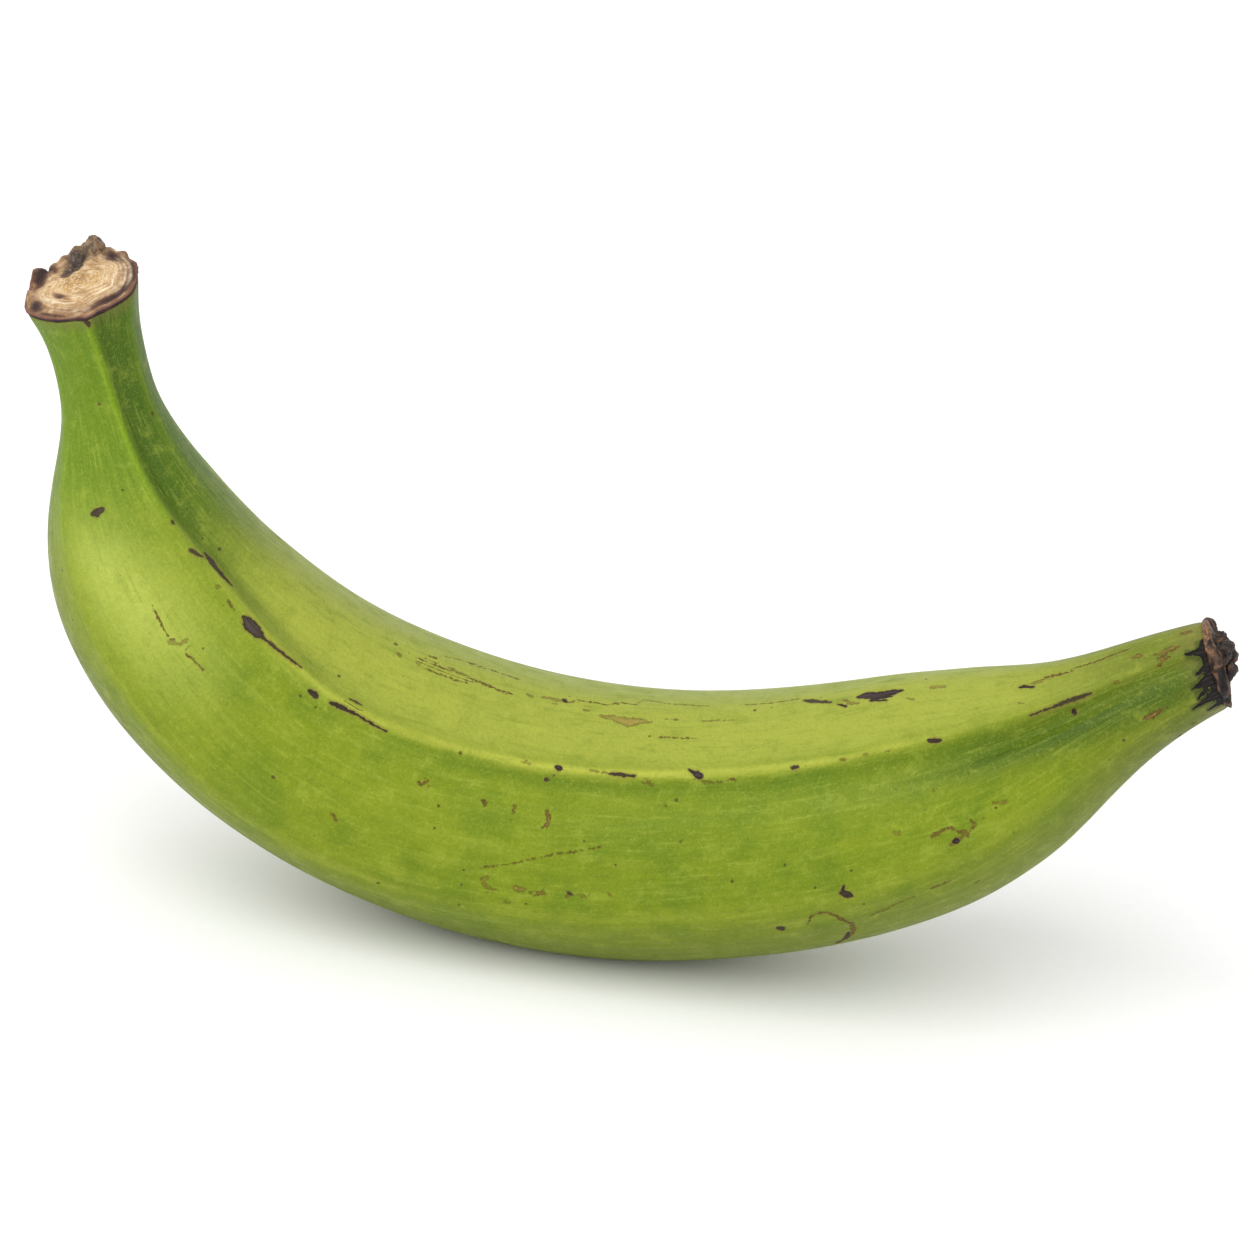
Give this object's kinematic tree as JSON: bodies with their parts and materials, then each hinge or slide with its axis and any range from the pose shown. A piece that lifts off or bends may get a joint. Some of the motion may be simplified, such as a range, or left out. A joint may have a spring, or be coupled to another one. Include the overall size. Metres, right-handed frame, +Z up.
{
  "type": "plantain",
  "caption": "Green cooking plantain: a long curved fruit with ridges, a flared cut stem and a dried flower scab, standing on a small flat spot on its outer curve.",
  "frame": {"origin": "middle of the small flat spot on the outer curve of the belly, on which the fruit stands", "axes": "+Z up, +X along the fruit from the stem towards the flower end, +Y away from the side that the picture shows"},
  "size_m": [0.2322, 0.0529, 0.1244],
  "materials": {
    "peel": "waxy green plantain peel, satin, with long fine streaks, pale ridge crests and small brown scars",
    "stem_cut": "dried, corky cream and tan cut face with a dark purple-brown rim and grey weathered knobs",
    "flower_scab": "dry, crumpled brown-black remains of the flower, matt with a few lighter brown edges"
  },
  "bodies": {
    "root": {"plantain": "peel"}
  },
  "joints": []
}
